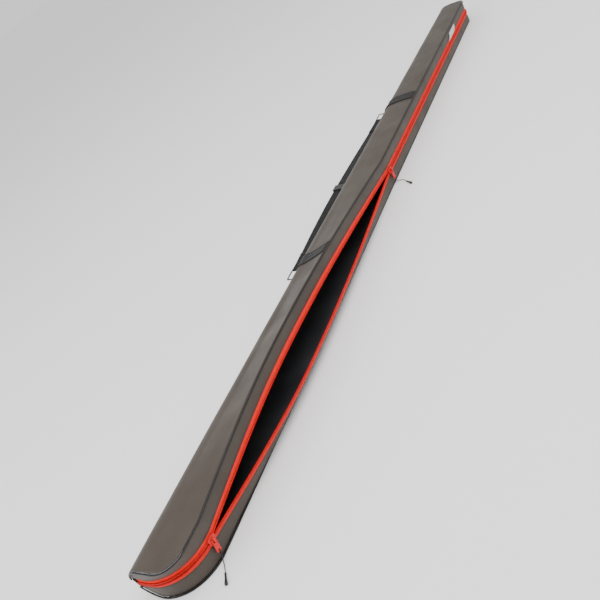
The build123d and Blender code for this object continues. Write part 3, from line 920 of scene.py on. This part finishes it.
def grip_piece(name):
    """A moulded grip turned about its axis, with rings near its narrow end."""
    start = Vector((near_x, 0, 0)) + Vector(cord_routes[name][-1])
    end = Vector((near_x, 0, 0)) + Vector(grip_ends[name])
    profile = [
        (0.0, 0.0), (0.0, 0.0015), (0.0006, 0.0019), (0.0016, 0.0019), (0.0021, 0.0016), (0.0027, 0.0019),
        (0.0037, 0.0019), (0.0042, 0.0016), (0.0048, 0.0019), (0.0060, 0.0018), (0.0110, 0.0018),
        (0.0160, 0.0023), (0.0200, 0.0029), (0.0222, 0.0030), (0.0236, 0.0026), (0.0244, 0.0016),
        (0.0246, 0.0),
    ]
    bm = bmesh.new()
    line = [bm.verts.new((x, radius, 0.0)) for x, radius in profile]
    edges = [bm.edges.new(pair) for pair in zip(line, line[1:])]
    bmesh.ops.spin(
        bm, geom=line + edges, cent=(0, 0, 0), axis=(1, 0, 0), angle=2 * math.pi, steps=28, use_merge=True
    )
    bmesh.ops.remove_doubles(bm, verts=bm.verts[:], dist=1e-6)
    bmesh.ops.recalc_face_normals(bm, faces=bm.faces[:])
    bmesh.ops.transform(bm, matrix=turned(start, end - start, Vector((0, 0, 1))), verts=bm.verts[:])
    mesh = bpy.data.meshes.new(name + "_grip")
    bm.to_mesh(mesh)
    bm.free()
    grip = finished(mesh, name + "_grip", grip_rubber, name + "_pull")
    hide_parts(name + "_cord_grip")
    return grip


def knot_piece(name):
    """The cord's doubled end through the tab's eye, tied in an overhand knot."""
    low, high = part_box(name + "_cord_knot")
    ball = Vector(((low.x + high.x) / 2, (low.y + high.y) / 2, low.z + 0.0023))
    if name == "lower":
        ball.x = low.x + 0.0023
    line = []
    for k in range(61):
        turn = 2 * math.pi * k / 60
        swell = Vector((
            math.sin(turn) + 2 * math.sin(2 * turn),
            math.cos(turn) - 2 * math.cos(2 * turn),
            -math.sin(3 * turn),
        ))
        line.append(ball + 0.00056 * swell)
    knot = round_piece(name + "_knot", line, cord_radius * 0.95, braid, name + "_pull", closed=True)
    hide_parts(name + "_cord_knot")
    return knot, ball, high


def eye_loop(name, ball, high):
    """The loop of cord from the knot up through the tab's eye and back."""
    top = high.z - cord_radius
    lean = math.radians(15 if name == "lower" else 6)
    side = Vector((math.sin(lean), 0, math.cos(lean)))
    line = []
    half = 0.5 * (top - ball.z) / math.cos(lean)
    for k in range(40):
        turn = 2 * math.pi * k / 40
        pinch = 1.0 if math.cos(turn) > -0.4 else 0.75
        line.append(
            ball + side * half * (1 + math.cos(turn)) + Vector((0, 1, 0)) * 0.0031 * pinch * math.sin(turn)
        )
    return round_piece(name + "_eye_loop", line, cord_radius, braid, name + "_pull", closed=True)


for name in cord_routes:
    cord = pull_cord(name)
    grip = grip_piece(name)
    knot, ball, high = knot_piece(name)
    loop = eye_loop(name, ball, high)


# ---------------------------------------------------------------- light-grey tab on the zip's far stretch
def grey_zip_tab():
    """A curved flap beside the zip, its wide root at the piping."""
    low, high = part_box("zip_end_tab")

    def place(along, across):
        root = high.z - 0.0004
        start = high.x - (high.x - low.x) * 0.78 * along**1.1
        reach = (high.z - low.z) * (1.0 - 0.12 * along)
        x = start - 0.022 * across**1.6
        z = root - reach * across * (0.88 + 0.12 * along)
        station_y = -width_at(x) / 2
        return Vector((x, station_y - 0.0012 - 0.0012 * math.sin(math.pi * across), z))

    flap = cloth_piece("grey_zip_flap", (24, 10), place, (0.07, 0.02), 0.0010, grey_flap, "bag")
    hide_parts("zip_end_tab")


grey_zip_tab()

# ---------------------------------------------------------------- finishes of the model's own pieces
finishes = {
    "lower_slider": enamel,
    "upper_slider": enamel,
    "lower_pull_tab": enamel,
    "upper_pull_tab": enamel,
    "near_zip_stop": band_webbing,
    "far_zip_stop": band_webbing,
    "lower_strap_ring": hardware,
    "upper_strap_ring": hardware,
    "strap_adjuster": hardware,
}
for node_name, material in finishes.items():
    nodes[node_name].data.materials.clear()
    nodes[node_name].data.materials.append(material)

# ---------------------------------------------------------------- floor, light and camera
def stage_floor():
    bm = bmesh.new()
    bmesh.ops.create_grid(bm, x_segments=2, y_segments=2, size=12.0)
    mesh = bpy.data.meshes.new("floor")
    bm.to_mesh(mesh)
    bm.free()
    mesh.materials.append(pale_floor())
    floor = bpy.data.objects.new("floor", mesh)
    bpy.context.scene.collection.objects.link(floor)


def soft_light(name, place, aim, size, power):
    lamp = bpy.data.lights.new(name, "AREA")
    lamp.shape = "SQUARE"
    lamp.size = size
    lamp.energy = power
    holder = bpy.data.objects.new(name, lamp)
    bpy.context.scene.collection.objects.link(holder)
    holder.location = place
    holder.rotation_mode = "QUATERNION"
    holder.rotation_quaternion = (Vector(place) - Vector(aim)).to_track_quat("Z", "Y")


def studio():
    world = bpy.data.worlds.new("studio")
    bpy.context.scene.world = world
    world.use_nodes = True
    background = world.node_tree.nodes["Background"]
    background.inputs["Color"].default_value = (1.0, 1.0, 1.0, 1.0)
    background.inputs["Strength"].default_value = 1.0
    stage_floor()
    soft_light("overhead", (-0.6, -1.2, 3.0), (0.0, 0.0, 0.0), 2.5, 90.0)
    soft_light("left_side", (-3.0, 1.5, 2.0), (-0.4, 0.0, 0.0), 2.0, 50.0)


def camera():
    """Low over the near end, rolled so that the bag runs up the frame."""
    view = bpy.data.cameras.new("camera")
    view.sensor_width = 36.0
    view.lens = 43.44
    view.clip_end = 50.0
    holder = bpy.data.objects.new("camera", view)
    bpy.context.scene.collection.objects.link(holder)
    right = Vector((0.3655, -0.7857, -0.4991))
    up = Vector((0.7087, -0.1128, 0.6964))
    back = Vector((-0.6035, -0.6083, 0.5156))
    turn = Matrix((right, up, back)).transposed().to_4x4()
    holder.matrix_world = Matrix.Translation((-1.2644, -0.9236, 0.8390)) @ turn
    bpy.context.scene.camera = holder


studio()
camera()
